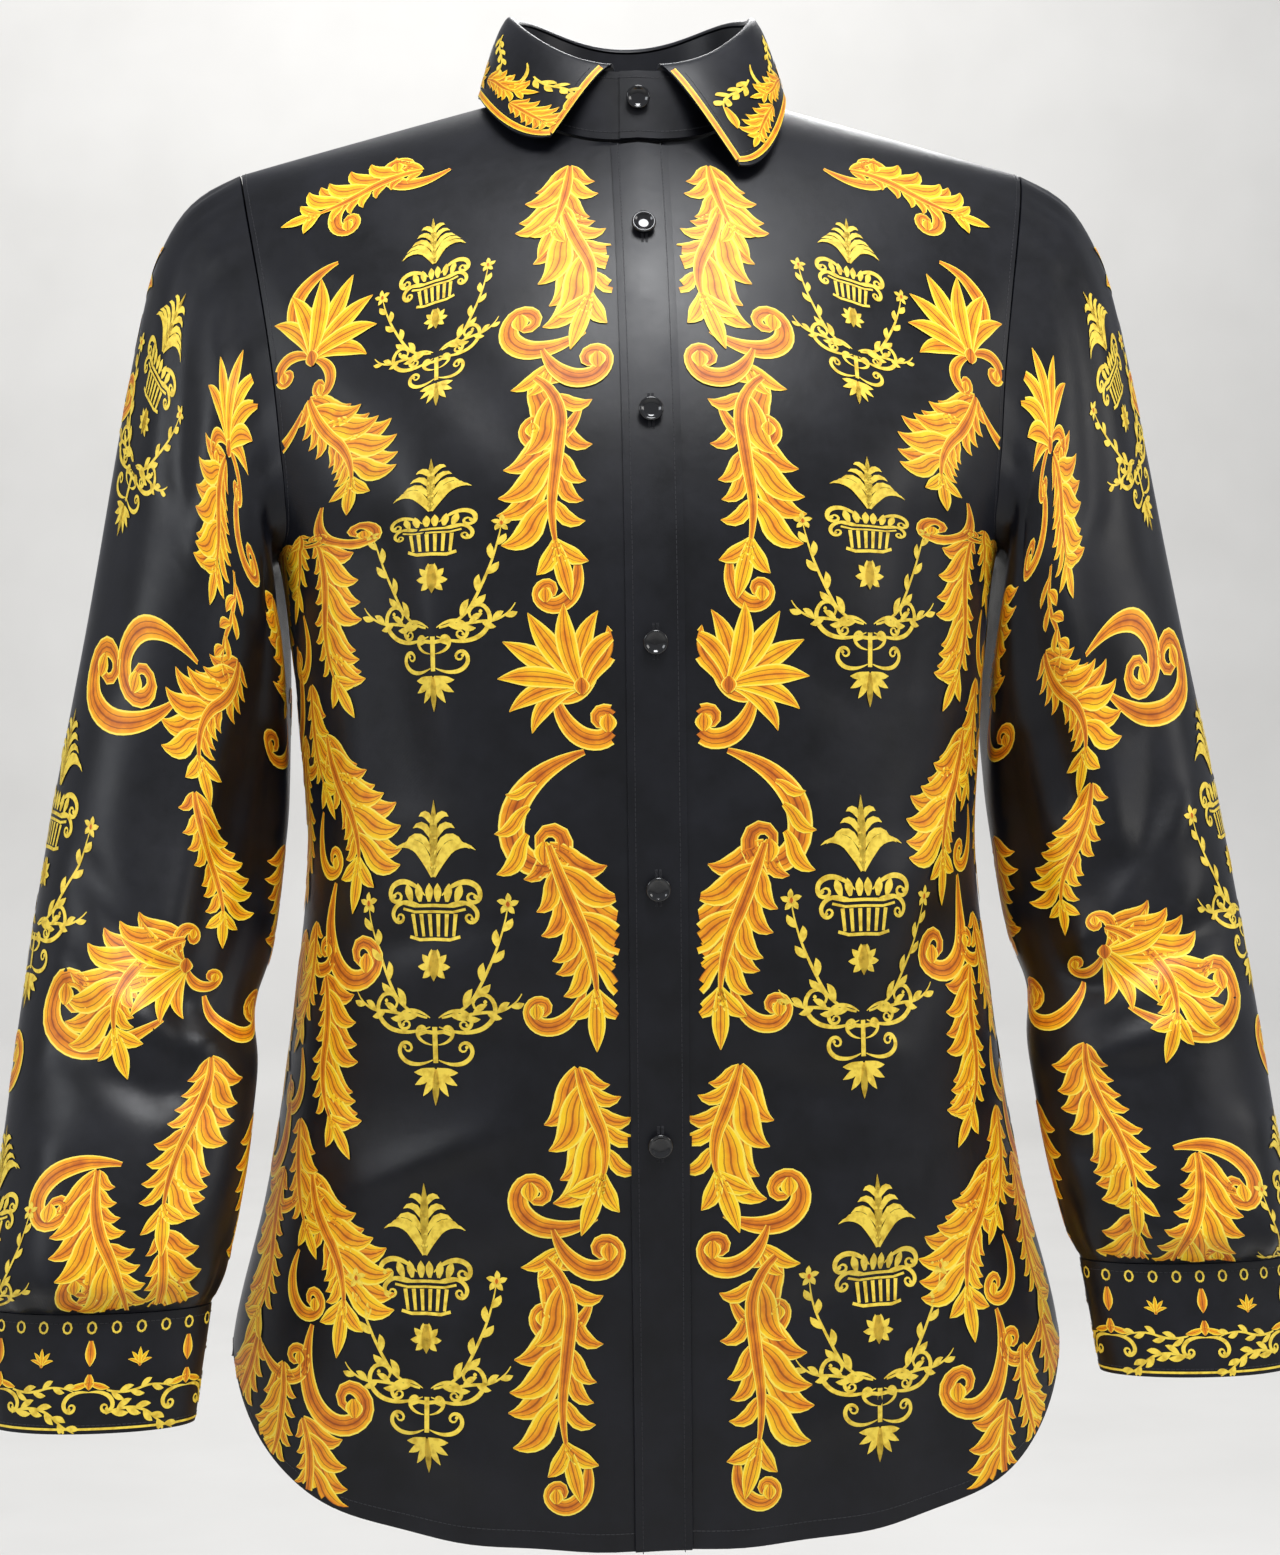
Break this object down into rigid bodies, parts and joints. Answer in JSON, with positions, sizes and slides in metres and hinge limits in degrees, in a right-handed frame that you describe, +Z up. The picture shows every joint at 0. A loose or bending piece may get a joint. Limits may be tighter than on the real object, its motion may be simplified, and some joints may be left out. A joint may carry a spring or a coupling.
{
  "type": "long-sleeved button-front shirt",
  "caption": "Men's long-sleeved satin shirt, worn form, with a turned-down collar, buttoned front, barrel cuffs and a shirt-tail hem.",
  "frame": {"origin": "on the centre plane, level with the points where the shoulder seams meet the collar, where the wearer's shoulders hold it", "axes": "+Z up towards the collar, -Y out of the buttoned front, +X towards the wearer's left sleeve"},
  "size_m": [0.7068, 0.258, 0.853],
  "materials": {
    "cloth": "black satin with a gold and orange printed scroll pattern",
    "fused_cloth": "the same printed satin, fused double",
    "button": "polished black"
  },
  "bodies": {
    "root": {"front_left": "cloth", "front_right": "cloth", "placket": "cloth", "back": "cloth", "yoke": "cloth", "sleeve_left": "cloth", "sleeve_right": "cloth", "sleeve_placket_left": "cloth", "sleeve_placket_right": "cloth", "collar_stand": "fused_cloth", "collar_leaf": "fused_cloth", "cuff_left": "fused_cloth", "cuff_right": "fused_cloth", "button_collar": "button", "button_1": "button", "button_2": "button", "button_3": "button", "button_4": "button", "button_5": "button", "button_cuff_left": "button", "button_cuff_right": "button"}
  },
  "joints": []
}
